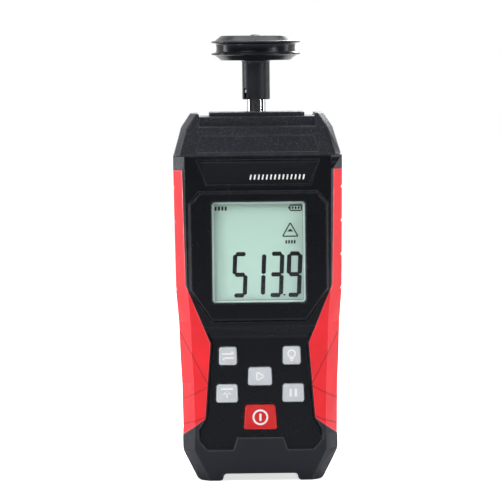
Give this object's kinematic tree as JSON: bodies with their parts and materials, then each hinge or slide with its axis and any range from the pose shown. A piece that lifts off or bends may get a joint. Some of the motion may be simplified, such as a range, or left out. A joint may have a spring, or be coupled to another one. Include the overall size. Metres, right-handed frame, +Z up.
{
  "type": "contact tachometer",
  "caption": "Handheld contact tachometer with a speed wheel on its shaft, a liquid crystal display, push keys, side grips and a battery door.",
  "frame": {"origin": "centre of the footprint of the body's box, on the plane that the two feet stand on", "axes": "+Z up along the shaft axis; the display and the keys face -Y; +X is to the right of a person who reads the display"},
  "size_m": [0.0602, 0.04, 0.159],
  "materials": {
    "black_plastic": "fine spark texture",
    "dark_panel": "semi gloss",
    "red_rubber": "matt overmoulded rubber",
    "black_rubber": "matt overmoulded rubber",
    "grey_key": "satin",
    "red_key": "satin",
    "clear_window": "clear",
    "lcd_green": "pale green film",
    "light_guide": "milky",
    "circuit_green": "solder mask",
    "component_black": "moulded",
    "silicone": "soft silicone",
    "steel": "plain",
    "polished_steel": "polished",
    "housing_aluminium": "turned",
    "brass": "plain",
    "cell_sleeve": "printed sleeve",
    "capacitor_sleeve": "shrink sleeve",
    "wire_red": "wire insulation",
    "lens_clear": "clear",
    "wheel_plastic": "gloss",
    "wheel_rubber": "smooth rubber"
  },
  "bodies": {
    "casing": {"front_shell": "black_plastic", "rear_shell": "black_plastic", "head_cap": "black_plastic", "spindle_plate": "black_plastic", "bottom_bumper": "black_rubber", "left_grip": "red_rubber", "right_grip": "red_rubber", "name_panel": "dark_panel", "display_bezel": "black_plastic", "display_window": "clear_window", "lcd_glass": "lcd_green", "lcd_backlight": "light_guide", "lcd_frame": "component_black", "contact_strip": "silicone", "keypad_membrane": "silicone", "main_board": "circuit_green", "key_switches": "component_black", "microcontroller": "component_black", "crystal": "steel", "capacitors": "capacitor_sleeve", "buzzer": "component_black", "sensor_board": "circuit_green", "sensor_holder": "component_black", "light_emitter": "lens_clear", "light_receiver": "component_black", "sensor_lenses": "lens_clear", "battery_cells": "cell_sleeve", "battery_springs": "steel", "battery_contacts": "brass", "battery_leads": "wire_red", "bearing_housing": "housing_aluminium", "bearing_outer_rings": "polished_steel", "shaft_seal": "silicone", "case_screws": "steel", "plate_screws": "steel", "board_screws": "steel"},
    "spindle": {"shaft": "polished_steel", "drive_pin": "steel", "bearing_inner_rings": "polished_steel", "bearing_balls": "polished_steel", "bearing_spacer": "brass", "slotted_disc": "component_black", "retaining_ring": "steel"},
    "wheel": {"wheel_hub": "wheel_plastic", "wheel_tyre": "wheel_rubber", "wheel_cap": "wheel_plastic"},
    "unit_button": {"unit_key": "grey_key"},
    "light_button": {"light_key": "grey_key"},
    "test_button": {"test_key": "grey_key"},
    "max_button": {"max_key": "grey_key"},
    "hold_button": {"hold_key": "grey_key"},
    "power_button": {"power_key": "red_key"},
    "door": {"battery_door": "black_plastic"}
  },
  "joints": [
    {"name": "spindle_spin", "type": "hinge", "parent": "casing", "child": "spindle", "pos_m": [0, 0, 0.12], "axis": [0, 0, 1], "continuous": true},
    {"name": "wheel_pull", "type": "slide", "parent": "spindle", "child": "wheel", "axis": [0, 0, 1], "range_m": [0, 0.012]},
    {"name": "unit_press", "type": "slide", "parent": "casing", "child": "unit_button", "axis": [0, 1, 0], "range_m": [0, 0.0008], "stiffness_N_per_m": 500},
    {"name": "light_press", "type": "slide", "parent": "casing", "child": "light_button", "axis": [0, 1, 0], "range_m": [0, 0.0008], "stiffness_N_per_m": 500},
    {"name": "test_press", "type": "slide", "parent": "casing", "child": "test_button", "axis": [0, 1, 0], "range_m": [0, 0.0008], "stiffness_N_per_m": 500},
    {"name": "max_press", "type": "slide", "parent": "casing", "child": "max_button", "axis": [0, 1, 0], "range_m": [0, 0.0008], "stiffness_N_per_m": 500},
    {"name": "hold_press", "type": "slide", "parent": "casing", "child": "hold_button", "axis": [0, 1, 0], "range_m": [0, 0.0008], "stiffness_N_per_m": 500},
    {"name": "power_press", "type": "slide", "parent": "casing", "child": "power_button", "axis": [0, 1, 0], "range_m": [0, 0.0008], "stiffness_N_per_m": 500},
    {"name": "door_swing", "type": "hinge", "parent": "casing", "child": "door", "pos_m": [0, 0.016, 0.01521], "axis": [-1, 0, 0], "range_deg": [0, 80]}
  ]
}
